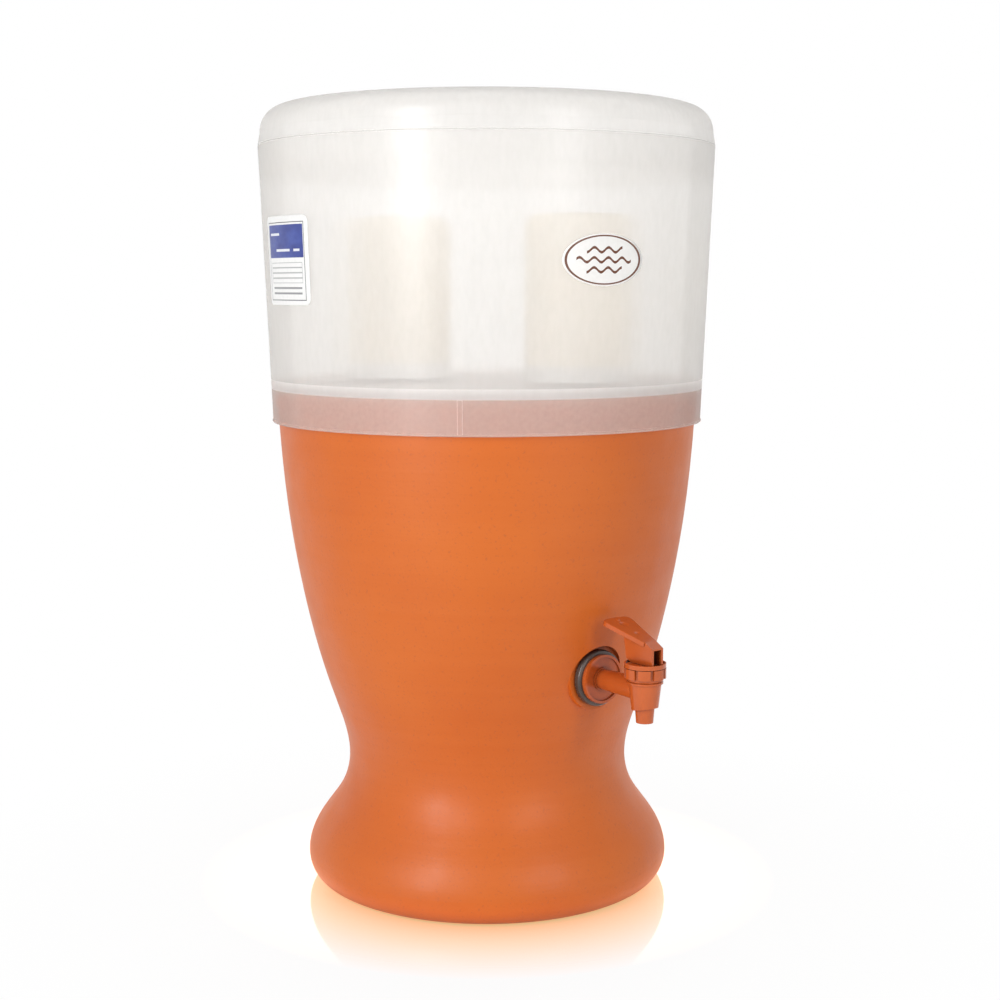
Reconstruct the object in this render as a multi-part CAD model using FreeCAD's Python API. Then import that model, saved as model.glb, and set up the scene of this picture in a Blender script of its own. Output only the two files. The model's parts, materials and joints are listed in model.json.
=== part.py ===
"""Gravity water filter: a waisted clay pot with a lever tap, under a clear reservoir.

Water is poured into the plastic reservoir, seeps through two ceramic candles, runs down their
threaded stems past a float valve each, and collects in the clay pot, where the tap draws it.

Lengths are millimetres and +Z is up.  The origin lies on the pot's axis in the plane of its foot,
and the tap points along -Y.  Outlines are lists of (radius, height) points.
"""

import FreeCAD, Part
import math
import os

Vec = FreeCAD.Vector
X_AXIS = Vec(1, 0, 0)
Y_AXIS = Vec(0, 1, 0)
Z_AXIS = Vec(0, 0, 1)

# ---------------------------------------------------------------- clay pot
FOOT_RADIUS = 90.5          # where the rounded pedestal meets the table
BULGE_RADIUS = 105.6        # widest ring of the pedestal
BULGE_HEIGHT = 16.0
SHOULDER_RADIUS = 101.4     # pedestal turning in towards the waist
SHOULDER_HEIGHT = 31.0
SLOPE_RADIUS = 85.5         # steepest part above it
SLOPE_HEIGHT = 54.7
WAIST_RADIUS = 81.4
WAIST_HEIGHT = 70.0
FLARE_RADIUS = 90.6         # wall opening out above the waist
FLARE_HEIGHT = 111.0
BELLY_RADIUS = 106.3
BELLY_HEIGHT = 168.0
CHEST_RADIUS = 115.9
CHEST_HEIGHT = 226.0
RIM_RADIUS = 120.8
RIM_HEIGHT = 288.5
CLAY_WALL = 9.5
CHAMBER_FLOOR = 84.0        # floor that the water stands on
CHAMBER_FLOOR_THICKNESS = 12.0
CHAMBER_ROUNDING = 12.0
RIM_ROUNDING = 2.5
RIM_TANGENT = Vec(0.05, 0, 1)   # wall still opening slightly at the rim
FOOT_RING_WIDTH = 11.0
PEDESTAL_WALL = 13.0        # at the widest ring

# ---------------------------------------------------------------- tap in the pot's wall
TAP_HEIGHT = 134.0          # axis of the horizontal shank
PAD_RADIUS = 18.0           # flat ground into the wall for the washer
PAD_FACE = 97.0             # distance of that flat from the pot's axis
PAD_THICKNESS = 12.0
THREAD_RADIUS = 8.0
THREAD_CLEARANCE = 0.5      # between the shank's thread and the hole in the clay
WASHER_RADIUS = 15.6
WASHER_THICKNESS = 4.6
WASHER_ROUNDING = 1.6
FLANGE_RADIUS = 13.4
FLANGE_THICKNESS = 2.6
FLANGE_RIM_WIDTH = 1.4
FLANGE_DISH = 1.0           # depth of its face inside the rim
SHANK_ROOT_RADIUS = 5.6
SHANK_END_RADIUS = 6.4
SHANK_ROOT_RING = 1.0       # bead where the shank meets the flange
WATERWAY_RADIUS = 3.2
NUT_ACROSS = 26.0           # across the lock nut's corners
NUT_THICKNESS = 7.0
NUT_COLLAR_RADIUS = 14.0
NUT_COLLAR = 1.6
THREAD_TAIL = 4.0           # thread that stands past the nut

# ---------------------------------------------------------------- tap valve
SPOUT_DROP = 17.4           # spout's mouth below the shank's axis
SPOUT_LENGTH = 7.4
SPOUT_END_RADIUS = 4.6
SPOUT_RADIUS = 5.2
SPOUT_BORE_RADIUS = 3.2
BODY_FOOT_RADIUS = 7.0
BODY_RADIUS = 8.8           # top of the body's cone
BODY_RISE = 4.0             # top of the cone above the shank's axis
BODY_SLANT = math.radians(10)   # cone's lower edge, higher at the front
COLLAR_RADIUS = 9.7         # double ring that the bonnet screws down on
COLLAR_HEIGHT = 2.8
COLLAR_GROOVE = 0.5
NECK_RADIUS = 8.2
NECK_HEIGHT = 4.0
VALVE_CHAMBER_RADIUS = 5.6
SEAT_DROP = 7.0             # floor of the valve chamber below the shank's axis
SEAT_LIP = 0.6              # raised ring that the plug shuts on
SEAT_LIP_WIDTH = 0.8

BONNET_RADIUS = 10.0
BONNET_TOP_THICKNESS = 2.5
BONNET_RIM_RADIUS = 11.1
BONNET_RIM_WIDTH = 0.7
BONNET_RIM_RISE = 0.7       # rim above the lever's seat
BONNET_RIM_DEPTH = 1.6
BONNET_GRIPS = 8
BONNET_GRIP_RADIUS = 11.2
BONNET_GRIP_WIDTH = 6.6
BONNET_GRIP_MARGIN = 0.3    # plain wall below and above each grip
GASKET_THICKNESS = 1.0

STEM_RADIUS = 1.9
STEM_CLEARANCE = 0.08       # running fit in the bonnet and the gasket
STEM_FLANGE_RADIUS = 3.9
STEM_FLANGE = 1.2
STEM_FLAT = 1.8             # half width across the flats of the stem's eye
STEM_TOP = 1.9              # stem above the pin's axis
PLUG_RADIUS = 4.5
PLUG_THICKNESS = 3.0
PLUG_SPIGOT_RADIUS = 1.3
PLUG_SPIGOT = 1.8
SPRING_RADIUS = 3.3
SPRING_WIRE_RADIUS = 0.35
SPRING_TURNS = 5

# ---------------------------------------------------------------- tap lever
LEVER_GAP = 0.15            # lever's heel above the bonnet
PIN_RISE = 3.3              # pin above the heel
PIN_RADIUS = 1.0
PIN_CLEARANCE = 0.05
LIFT_PER_RADIAN = 6.0       # rise of the stem for each radian of the lever
LEVER_TRAVEL = math.radians(26)
LEVER_WIDTH = 8.0
CHEEK_THICKNESS = 1.4
LEVER_FRONT = 9.4           # front face, ahead of the valve's axis
LEVER_FRONT_HEIGHT = 9.2
LEVER_LIP = 0.8             # of the roof over the slot's open front
LEVER_BROW = 4.0            # where the thumb plate starts, ahead of the valve's axis
LEVER_BROW_HEIGHT = 12.2
LEVER_HEEL_END = 10.6       # back of the cheeks at the heel, behind the valve's axis
LEVER_HEEL_ROUNDING = 1.8
LEVER_CHEEK_END = 12.8      # and where they meet the thumb plate
LEVER_BACK = 25.0           # far end of the thumb plate
LEVER_WALL_GAP = 5.7        # between that end and the clay
LEVER_SLOPE = math.radians(17)
PLATE_THICKNESS = 2.4
PLATE_FRONT_WIDTH = 9.0
PLATE_BACK_WIDTH = 20.0
PLATE_CORNER = 3.5
PLATE_BULGE = 1.2           # of its far edge, which is bowed outwards
PLATE_EDGE = 0.6            # rounding of its upper edge
SLOT_END = 7.6              # back of the slot that the stem's eye stands in
THUMB_DIMPLE = 17.0         # centre of the wide dimple, behind the valve's axis
THUMB_DIMPLE_RADIUS = 2.6
PIN_DIMPLE = 6.5            # centre of the small one
PIN_DIMPLE_RADIUS = 1.6
DIMPLE_DEPTH = 0.5
THUMB_BUMP = 22.0           # centre of the low bump that stops the thumb slipping off
THUMB_BUMP_RADIUS = 1.5
THUMB_BUMP_RISE = 0.4

# ---------------------------------------------------------------- upper reservoir and lid
SKIRT_CLEARANCE = 0.4       # round the clay rim
SKIRT_OVERLAP = 18.9        # of the skirt over the clay
SKIRT_BEAD = 0.5            # round the skirt's lower edge
PLASTIC_WALL = 1.8
TUB_FLARE = 6.5             # from the skirt's lower edge to the mouth
TUB_DEPTH = 135.5
TUB_FLOOR = 2.5
FLOOR_ROUNDING = 5.0
RIB_COUNT = 3               # upright ribs down the skirt
RIB_WIDTH = 2.6
RIB_PROUD = 0.35
RIB_BEARING = -134.0        # of the first, degrees from +X

LID_HEIGHT = 22.4
LID_SIDE = 7.0              # upright part of the lid's edge
LID_SIDE_DRAFT = 1.1
LID_SHOULDER_WIDTH = 16.0
LID_FULLNESS = 0.61         # roundness of the shoulder
LID_DOME = 0.6
SPIGOT_DEPTH = 16.0
SPIGOT_CLEARANCE = 0.5
LID_SHELF = 1.8             # step between the lid's edge and its spigot
LID_BEVEL = 0.7             # of the lid's lower edge, which leaves a groove over the tub

# ---------------------------------------------------------------- candles
CANDLE_OFFSET = 57.0        # candle's axis from the pot's axis
CANDLE_BEARING = -63.0      # of the front candle, degrees from +X
CANDLE_RADIUS = 30.0
CANDLE_HEIGHT = 93.0        # washer to top
CANDLE_ROUNDING = 7.0
CANDLE_WALL = 7.0
CANDLE_BASE_HEIGHT = 9.0
CANDLE_BASE_RIM = 0.9       # rim of the base round the ceramic
CANDLE_SEAT = 3.0           # underside of the ceramic above the base's underside
CANDLE_BORE_RADIUS = 2.4
CANDLE_STEM_RADIUS = 5.5
CANDLE_STEM_LENGTH = 27.0
CANDLE_STEM_CLEARANCE = 0.4
CANDLE_WASHER_RADIUS = 13.0
CANDLE_WASHER_THICKNESS = 2.2
WING_NUT_RADIUS = 9.0
WING_NUT_HEIGHT = 6.5
WING_REACH = 17.0
WING_THICKNESS = 2.4
WING_DROP = 8.5

# ---------------------------------------------------------------- float valves
VALVE_RADIUS = 8.0
VALVE_SOCKET = 9.0          # length of the candle's stem inside the valve
VALVE_FLOOR = 3.0
NOZZLE_RADIUS = 3.2
NOZZLE_LENGTH = 2.6
NOZZLE_BORE_RADIUS = 1.5
PIVOT_SETBACK = 9.0         # pivot behind the stem's axis
EAR_THICKNESS = 1.8
EAR_RADIUS = 3.0
EAR_GAP = 0.3               # each side of the arm
FLOAT_PIN_RADIUS = 1.0
ARM_WIDTH = 6.0
ARM_THICKNESS = 2.6
ARM_LENGTH = 40.0           # pivot to the float's axis
ARM_BOSS_RADIUS = 2.7
ARM_DROOP = 16.0            # degrees below level when the valve is open
ARM_TAIL = 6.0
ARM_STOP_GAP = 0.15
VALVE_PAD_RADIUS = 2.8
VALVE_PAD_THICKNESS = 1.2
VALVE_PAD_RECESS = 0.5
FLOAT_RADIUS = 13.5
FLOAT_HEIGHT = 20.0
FLOAT_ROUNDING = 3.0
FLOAT_NECK_RADIUS = 2.5
FLOAT_CAP_RADIUS = 4.0
FLOAT_CAP = 1.2

# ---------------------------------------------------------------- worked out from the above
SKIRT_BOTTOM = RIM_HEIGHT - SKIRT_OVERLAP
SKIRT_RADIUS = RIM_RADIUS + SKIRT_CLEARANCE + PLASTIC_WALL
MOUTH_HEIGHT = RIM_HEIGHT + TUB_DEPTH
MOUTH_RADIUS = SKIRT_RADIUS + TUB_FLARE
FLOOR_TOP = RIM_HEIGHT + TUB_FLOOR

PAD_INSIDE = PAD_FACE - PAD_THICKNESS
FLANGE_BACK = PAD_FACE + WASHER_THICKNESS
FLANGE_FACE = FLANGE_BACK + FLANGE_THICKNESS
NUT_FACE = PAD_INSIDE - WASHER_THICKNESS
SHANK_TAIL = NUT_FACE - NUT_THICKNESS - THREAD_TAIL

VALVE_REACH = BELLY_RADIUS + LEVER_WALL_GAP + LEVER_BACK    # valve's axis from the pot's axis
VALVE_AXIS = Vec(0, -VALVE_REACH, 0)
SPOUT_BOTTOM = TAP_HEIGHT - SPOUT_DROP
SPOUT_TOP = SPOUT_BOTTOM + SPOUT_LENGTH
SEAT_HEIGHT = TAP_HEIGHT - SEAT_DROP
BODY_TOP = TAP_HEIGHT + BODY_RISE
COLLAR_TOP = BODY_TOP + COLLAR_HEIGHT
NECK_TOP = COLLAR_TOP + NECK_HEIGHT
BONNET_CEILING = NECK_TOP + GASKET_THICKNESS
BONNET_TOP = BONNET_CEILING + BONNET_TOP_THICKNESS
PLUG_BOTTOM = SEAT_HEIGHT + SEAT_LIP
PLUG_TOP = PLUG_BOTTOM + PLUG_THICKNESS
HEEL_HEIGHT = BONNET_TOP + LEVER_GAP
PIN_HEIGHT = HEEL_HEIGHT + PIN_RISE
CHEEK_INSIDE = LEVER_WIDTH / 2 - CHEEK_THICKNESS

CANDLE_BOTTOM = FLOOR_TOP + CANDLE_WASHER_THICKNESS
CANDLE_TOP = CANDLE_BOTTOM + CANDLE_HEIGHT
NUT_WASHER_BOTTOM = RIM_HEIGHT - CANDLE_WASHER_THICKNESS
CANDLE_STEM_END = CANDLE_BOTTOM - CANDLE_STEM_LENGTH
VALVE_TOP = CANDLE_STEM_END + VALVE_SOCKET
VALVE_BOTTOM = CANDLE_STEM_END - VALVE_FLOOR
NOZZLE_TIP = VALVE_BOTTOM - NOZZLE_LENGTH
PAD_PROUD = VALVE_PAD_THICKNESS - VALVE_PAD_RECESS
PIVOT_HEIGHT = NOZZLE_TIP - PAD_PROUD - ARM_THICKNESS / 2

CANDLE_SIDES = {"front": CANDLE_BEARING, "rear": CANDLE_BEARING + 180}


# ---------------------------------------------------------------- helpers
def line(start, end):
    """Straight edge between two outline points."""
    return Part.LineSegment(Vec(start[0], 0, start[1]), Vec(end[0], 0, end[1])).toShape()


def bend(start, corner, end, fullness):
    """Curve that leaves start towards corner and arrives at end from corner."""
    first, middle, last = [Vec(r, 0, z) for r, z in (start, corner, end)]
    curve = Part.BezierCurve()
    curve.setPoles([first, first + (middle - first) * fullness,
                    last + (middle - last) * fullness, last])
    return curve.toShape()


def spline(points, start_tangent, end_tangent):
    """Smooth curve through outline points, with the given unit tangents at its ends."""
    curve = Part.BSplineCurve()
    curve.interpolate(Points=[Vec(r, 0, z) for r, z in points], Scale=False,
                      InitialTangent=start_tangent, FinalTangent=end_tangent)
    return curve.toShape()


def spun(edges):
    """Solid that a closed outline sweeps about the Z axis."""
    return Part.Face(Part.Wire(edges)).revolve(Vec(0, 0, 0), Z_AXIS, 360)


def turned(points, centre=Vec(0, 0, 0)):
    """Solid of revolution of a straight-sided outline, about a vertical axis through centre."""
    closed = points + points[:1]
    solid = spun([line(a, b) for a, b in zip(closed, closed[1:])])
    solid.translate(centre)
    return solid


def rod(radius, low, high, centre=Vec(0, 0, 0)):
    return Part.makeCylinder(radius, high - low, centre + Vec(0, 0, low), Z_AXIS)


def ring(outer, inner, low, high, centre=Vec(0, 0, 0)):
    return rod(outer, low, high, centre).cut(rod(inner, low, high, centre))


def block(low, high):
    low, high = Vec(*low), Vec(*high)
    return Part.makeBox(high.x - low.x, high.y - low.y, high.z - low.z, low)


def cross_rod(radius, half_length, y, z):
    """Cylinder along X, centred on the YZ plane."""
    return Part.makeCylinder(radius, 2 * half_length, Vec(-half_length, y, z), X_AXIS)


def tap_rod(radius, near, far, far_radius=None):
    """Cylinder or cone along the shank, between two distances from the pot's axis."""
    start = Vec(0, -near, TAP_HEIGHT)
    if far_radius is None:
        return Part.makeCylinder(radius, far - near, start, -Y_AXIS)
    return Part.makeCone(radius, far_radius, far - near, start, -Y_AXIS)


def round_edges(solid, radius, height, at_radius):
    """Fillet the circular edge of a solid of revolution at a height and a radius."""
    reach = 0.02
    chosen = [edge for edge in solid.Edges
              if abs(edge.BoundBox.ZMax - height) < reach and abs(edge.BoundBox.ZMin - height) < reach
              and abs(edge.BoundBox.XLength / 2 - at_radius) < reach]
    return solid.makeFillet(radius, chosen)


def at_candle(shape, side):
    """Move a shape drawn about the Z axis to the candle on one side."""
    placed = shape.copy()
    placed.translate(Vec(CANDLE_OFFSET, 0, 0))
    placed.rotate(Vec(0, 0, 0), Z_AXIS, CANDLE_SIDES[side])
    return placed


def at_both_candles(shape):
    return Part.makeCompound([at_candle(shape, side) for side in CANDLE_SIDES])


def tub_radius(height):
    """Outside of the reservoir's tapered wall at a height."""
    share = (height - SKIRT_BOTTOM) / (MOUTH_HEIGHT - SKIRT_BOTTOM)
    return SKIRT_RADIUS + share * TUB_FLARE


# ---------------------------------------------------------------- clay pot
def wall_points(inset):
    """Points that the thrown wall passes through from the waist up, moved in by inset."""
    return [(WAIST_RADIUS - inset, WAIST_HEIGHT), (FLARE_RADIUS - inset, FLARE_HEIGHT),
            (BELLY_RADIUS - inset, BELLY_HEIGHT), (CHEST_RADIUS - inset, CHEST_HEIGHT),
            (RIM_RADIUS - inset, RIM_HEIGHT)]


def pot_outside():
    pedestal = [(BULGE_RADIUS, BULGE_HEIGHT), (SHOULDER_RADIUS, SHOULDER_HEIGHT),
                (SLOPE_RADIUS, SLOPE_HEIGHT)]
    wall = spline(pedestal + wall_points(0), Z_AXIS, RIM_TANGENT)
    foot = bend((FOOT_RADIUS, 0), (BULGE_RADIUS, 0), (BULGE_RADIUS, BULGE_HEIGHT), 0.6)
    return spun([foot, wall, line((RIM_RADIUS, RIM_HEIGHT), (0, RIM_HEIGHT)),
                 line((0, RIM_HEIGHT), (0, 0)), line((0, 0), (FOOT_RADIUS, 0))])


def water_chamber():
    """Space inside the pot, from its floor to its rim."""
    wall = wall_points(CLAY_WALL)
    low, high = wall[0], wall[-1]
    space = spun([spline(wall, Z_AXIS, RIM_TANGENT), line(high, (0, high[1])),
                  line((0, high[1]), (0, low[1])), line((0, low[1]), low)])
    space = space.cut(rod(BULGE_RADIUS, 0, CHAMBER_FLOOR))
    floor_radius = max(edge.BoundBox.XLength / 2 for edge in space.Edges
                       if edge.BoundBox.ZMax < CHAMBER_FLOOR + 0.02)
    return round_edges(space, CHAMBER_ROUNDING, CHAMBER_FLOOR, floor_radius)


def pedestal_hollow():
    """Space under the chamber's floor, open at the foot."""
    roof = CHAMBER_FLOOR - CHAMBER_FLOOR_THICKNESS
    neck = WAIST_RADIUS - CLAY_WALL
    rounding = CHAMBER_ROUNDING
    side = spline([(FOOT_RADIUS - FOOT_RING_WIDTH, 0), (BULGE_RADIUS - PEDESTAL_WALL, BULGE_HEIGHT),
                   (neck, roof - rounding)], Vec(0.7, 0, 0.7), Z_AXIS)
    turn = bend((neck, roof - rounding), (neck, roof), (neck - rounding, roof), 0.55)
    return spun([side, turn, line((neck - rounding, roof), (0, roof)), line((0, roof), (0, 0)),
                 line((0, 0), (FOOT_RADIUS - FOOT_RING_WIDTH, 0))])


def clay_pot():
    pot = pot_outside().cut(water_chamber())
    pot = round_edges(pot, RIM_ROUNDING, RIM_HEIGHT, RIM_RADIUS)
    pot = round_edges(pot, RIM_ROUNDING, RIM_HEIGHT, RIM_RADIUS - CLAY_WALL)
    pot = pot.cut(pedestal_hollow())
    pot = pot.fuse(tap_rod(PAD_RADIUS, PAD_INSIDE, PAD_FACE))
    outer_recess = tap_rod(PAD_RADIUS, PAD_FACE, BELLY_RADIUS)
    inner_recess = tap_rod(PAD_RADIUS, SHANK_TAIL, PAD_INSIDE)
    hole = tap_rod(THREAD_RADIUS + THREAD_CLEARANCE, PAD_INSIDE, PAD_FACE)
    return pot.cut([outer_recess, inner_recess, hole])


# ---------------------------------------------------------------- tap
def tap_flange():
    """Dished flange with a bead round the shank."""
    flange = tap_rod(FLANGE_RADIUS, FLANGE_BACK, FLANGE_FACE)
    dish = tap_rod(FLANGE_RADIUS - FLANGE_RIM_WIDTH, FLANGE_FACE - FLANGE_DISH, FLANGE_FACE)
    bead = tap_rod(SHANK_ROOT_RADIUS + SHANK_ROOT_RING, FLANGE_FACE - FLANGE_DISH, FLANGE_FACE)
    return flange.cut(dish).fuse(bead)


def slanted_foot():
    """Wedge that cuts the cone's lower edge on a slant, through its middle at the spout's top."""
    reach = BODY_RADIUS
    rise = reach * math.tan(BODY_SLANT)
    corners = [Vec(-reach, reach, -rise), Vec(-reach, -reach, -rise), Vec(-reach, -reach, rise)]
    wedge = Part.Face(Part.makePolygon(corners + corners[:1])).extrude(X_AXIS * 2 * reach)
    wedge.translate(VALVE_AXIS + Vec(0, 0, SPOUT_TOP))
    return wedge


def valve_body():
    """Upright barrel of the tap: a cone over the spout, with a double collar and a neck."""
    groove = COLLAR_HEIGHT / 3
    low = SPOUT_TOP - BODY_RADIUS * math.tan(BODY_SLANT)
    outline = [(0, low), (BODY_FOOT_RADIUS, low), (BODY_RADIUS, BODY_TOP), (COLLAR_RADIUS, BODY_TOP),
               (COLLAR_RADIUS, BODY_TOP + groove),
               (COLLAR_RADIUS - COLLAR_GROOVE, BODY_TOP + 1.5 * groove),
               (COLLAR_RADIUS, BODY_TOP + 2 * groove), (COLLAR_RADIUS, COLLAR_TOP),
               (NECK_RADIUS, COLLAR_TOP), (NECK_RADIUS, NECK_TOP), (0, NECK_TOP)]
    barrel = turned(outline, VALVE_AXIS).cut(slanted_foot())
    spout = turned([(0, SPOUT_BOTTOM), (SPOUT_END_RADIUS, SPOUT_BOTTOM), (SPOUT_RADIUS, SPOUT_TOP),
                    (SPOUT_RADIUS, SEAT_HEIGHT), (0, SEAT_HEIGHT)], VALVE_AXIS)
    return barrel.fuse(spout)


def tap_body():
    thread = tap_rod(THREAD_RADIUS, SHANK_TAIL, FLANGE_BACK)
    shank = tap_rod(SHANK_ROOT_RADIUS, FLANGE_FACE - FLANGE_DISH, VALVE_REACH, SHANK_END_RADIUS)
    solid = thread.fuse([tap_flange(), shank, valve_body()])
    chamber = rod(VALVE_CHAMBER_RADIUS, SEAT_HEIGHT, NECK_TOP, VALVE_AXIS)
    spout_bore = rod(SPOUT_BORE_RADIUS, SPOUT_BOTTOM, SEAT_HEIGHT, VALVE_AXIS)
    waterway = tap_rod(WATERWAY_RADIUS, SHANK_TAIL, VALVE_REACH)
    solid = solid.cut([chamber, spout_bore, waterway])
    lip = ring(SPOUT_BORE_RADIUS + SEAT_LIP_WIDTH, SPOUT_BORE_RADIUS,
               SEAT_HEIGHT - SEAT_LIP, PLUG_BOTTOM, VALVE_AXIS)
    return solid.fuse(lip).removeSplitter()


def tap_washer(near, far):
    """Soft washer round the thread, with rounded outer edges."""
    disc = tap_rod(WASHER_RADIUS, near, far)
    rims = [edge for edge in disc.Edges if edge.isClosed()]
    return disc.makeFillet(WASHER_ROUNDING, rims).cut(tap_rod(THREAD_RADIUS, near, far))


def tap_outer_washer():
    return tap_washer(PAD_FACE, FLANGE_BACK)


def tap_inner_washer():
    return tap_washer(NUT_FACE, PAD_INSIDE)


def tap_lock_nut():
    """Hexagon nut with a round collar against the washer."""
    turns = [math.radians(60 * i) for i in range(7)]
    corners = [Vec(NUT_ACROSS / 2 * math.cos(turn), -NUT_FACE,
                   TAP_HEIGHT + NUT_ACROSS / 2 * math.sin(turn)) for turn in turns]
    hexagon = Part.Face(Part.makePolygon(corners)).extrude(Y_AXIS * NUT_THICKNESS)
    collar = tap_rod(NUT_COLLAR_RADIUS, NUT_FACE - NUT_COLLAR, NUT_FACE)
    bore = tap_rod(THREAD_RADIUS, NUT_FACE - NUT_THICKNESS, NUT_FACE)
    return hexagon.fuse(collar).cut(bore).removeSplitter()


def tap_bonnet():
    """Screw cap with a rim round the lever's seat and flat grips round its wall."""
    seat_rim = BONNET_TOP + BONNET_RIM_RISE
    rim_foot = BONNET_TOP - BONNET_RIM_DEPTH
    outline = [(0, COLLAR_TOP), (BONNET_RADIUS, COLLAR_TOP), (BONNET_RADIUS, rim_foot),
               (BONNET_RIM_RADIUS, rim_foot), (BONNET_RIM_RADIUS, seat_rim),
               (BONNET_RIM_RADIUS - BONNET_RIM_WIDTH, seat_rim),
               (BONNET_RIM_RADIUS - BONNET_RIM_WIDTH, BONNET_TOP), (0, BONNET_TOP)]
    cap = turned(outline, VALVE_AXIS)
    half = BONNET_GRIP_WIDTH / 2
    bottom = COLLAR_TOP + BONNET_GRIP_MARGIN
    top = rim_foot - BONNET_GRIP_MARGIN
    grip = block((0, -half, bottom), (BONNET_GRIP_RADIUS, half, top))
    grip = grip.common(rod(BONNET_GRIP_RADIUS, bottom, top))
    for i in range(BONNET_GRIPS):
        turned_grip = grip.copy()
        turned_grip.rotate(Vec(0, 0, 0), Z_AXIS, 360 / BONNET_GRIPS * i)
        turned_grip.translate(VALVE_AXIS)
        cap = cap.fuse(turned_grip)
    socket = rod(NECK_RADIUS, COLLAR_TOP, BONNET_CEILING, VALVE_AXIS)
    hole = rod(STEM_RADIUS + STEM_CLEARANCE, COLLAR_TOP, seat_rim, VALVE_AXIS)
    return cap.cut([socket, hole])


def tap_bonnet_gasket():
    return ring(NECK_RADIUS, STEM_RADIUS + STEM_CLEARANCE, NECK_TOP, BONNET_CEILING, VALVE_AXIS)


def tap_stem():
    """Round stem with a foot for the plug and the spring, and a flatted eye for the lever's pin."""
    top = PIN_HEIGHT + STEM_TOP
    stem = rod(STEM_RADIUS, PLUG_TOP, top, VALVE_AXIS)
    stem = stem.fuse([rod(STEM_FLANGE_RADIUS, PLUG_TOP, PLUG_TOP + STEM_FLANGE, VALVE_AXIS),
                      rod(PLUG_SPIGOT_RADIUS, PLUG_TOP - PLUG_SPIGOT, PLUG_TOP, VALVE_AXIS)])
    near, far = -VALVE_REACH - STEM_RADIUS, -VALVE_REACH + STEM_RADIUS
    flats = [block((STEM_FLAT, near, HEEL_HEIGHT), (STEM_RADIUS, far, top)),
             block((-STEM_RADIUS, near, HEEL_HEIGHT), (-STEM_FLAT, far, top))]
    eye = cross_rod(PIN_RADIUS + PIN_CLEARANCE, STEM_RADIUS, -VALVE_REACH, PIN_HEIGHT)
    return stem.cut(flats + [eye])


def tap_seat_plug():
    plug = rod(PLUG_RADIUS, PLUG_BOTTOM, PLUG_TOP, VALVE_AXIS)
    return plug.cut(rod(PLUG_SPIGOT_RADIUS, PLUG_TOP - PLUG_SPIGOT, PLUG_TOP, VALVE_AXIS))


def tap_spring():
    """Return spring between the stem's foot and the gasket."""
    low = PLUG_TOP + STEM_FLANGE + SPRING_WIRE_RADIUS
    length = NECK_TOP - SPRING_WIRE_RADIUS - low
    helix = Part.makeHelix(length / SPRING_TURNS, length, SPRING_RADIUS)
    wire = Part.Wire(Part.makeCircle(SPRING_WIRE_RADIUS, Vec(SPRING_RADIUS, 0, 0), Y_AXIS))
    spring = Part.Wire(helix).makePipeShell([wire], True, True)
    spring.translate(VALVE_AXIS + Vec(0, 0, low))
    return spring


# ---------------------------------------------------------------- tap lever
def lever_point(behind, above_heel):
    """Point in the lever's side view, placed on the YZ plane."""
    return Vec(0, behind - VALVE_REACH, HEEL_HEIGHT + above_heel)


def heel_cam():
    """Heel curve behind the seat: it lifts the pin by LIFT_PER_RADIAN as the lever tips back."""
    points = []
    steps = 6
    for i in range(steps + 1):
        tilt = LEVER_TRAVEL * i / steps
        drop = PIN_RISE + LIFT_PER_RADIAN * tilt
        behind = drop * math.sin(tilt) + LIFT_PER_RADIAN * math.cos(tilt)
        below_pin = drop * math.cos(tilt) - LIFT_PER_RADIAN * math.sin(tilt)
        points.append(lever_point(behind, PIN_RISE - below_pin))
    curve = Part.BSplineCurve()
    curve.interpolate(points)
    return curve.toShape(), points[0], points[-1]


def plate_underside(behind):
    """Height of the thumb plate's underside above the heel."""
    top = LEVER_BROW_HEIGHT + (behind + LEVER_BROW) * math.tan(LEVER_SLOPE)
    return top - PLATE_THICKNESS / math.cos(LEVER_SLOPE)


def lever_slot():
    """Space between the cheeks, open at the front and at the heel."""
    front = -LEVER_FRONT - 1
    corners = [lever_point(front, -1), lever_point(SLOT_END, -1),
               lever_point(SLOT_END, plate_underside(SLOT_END)),
               lever_point(-LEVER_BROW, plate_underside(-LEVER_BROW)),
               lever_point(-LEVER_FRONT, LEVER_FRONT_HEIGHT - LEVER_LIP),
               lever_point(front, LEVER_FRONT_HEIGHT - LEVER_LIP)]
    side = Part.Face(Part.makePolygon(corners + corners[:1]))
    side.translate(X_AXIS * -CHEEK_INSIDE)
    return side.extrude(X_AXIS * 2 * CHEEK_INSIDE)


def lever_cheeks():
    """Both side walls, the brow over them and the web behind the stem."""
    cam, cam_start, cam_end = heel_cam()
    run = LEVER_HEEL_END - (cam_end.y + VALVE_REACH)
    back_low = cam_end + Vec(0, run, run * math.tan(LEVER_TRAVEL))
    back_high = lever_point(LEVER_CHEEK_END, plate_underside(LEVER_CHEEK_END))
    back_top = back_high + Vec(0, 0, PLATE_THICKNESS / 2)
    brow = lever_point(-LEVER_BROW, LEVER_BROW_HEIGHT)
    corners = [cam_end, back_low, back_high, back_top, brow,
               lever_point(-LEVER_FRONT, LEVER_FRONT_HEIGHT), lever_point(-LEVER_FRONT, 0), cam_start]
    outline = [cam] + [Part.LineSegment(a, b).toShape() for a, b in zip(corners, corners[1:])]
    side = Part.Face(Part.Wire(outline))
    side.translate(X_AXIS * (-LEVER_WIDTH / 2))
    solid = side.extrude(X_AXIS * LEVER_WIDTH)
    heel = [edge for edge in solid.Edges
            if (edge.CenterOfMass - back_low).Length < 0.01]
    return solid.makeFillet(LEVER_HEEL_ROUNDING, heel).cut(lever_slot())


def low_ball(radius, height, behind):
    """Ball that stands height out of the level thumb plate, on a circle of that radius."""
    ball_radius = (radius ** 2 + height ** 2) / (2 * height)
    along = (behind + LEVER_BROW) / math.cos(LEVER_SLOPE)
    return Part.makeSphere(ball_radius, Vec(0, along, height - ball_radius))


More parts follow.
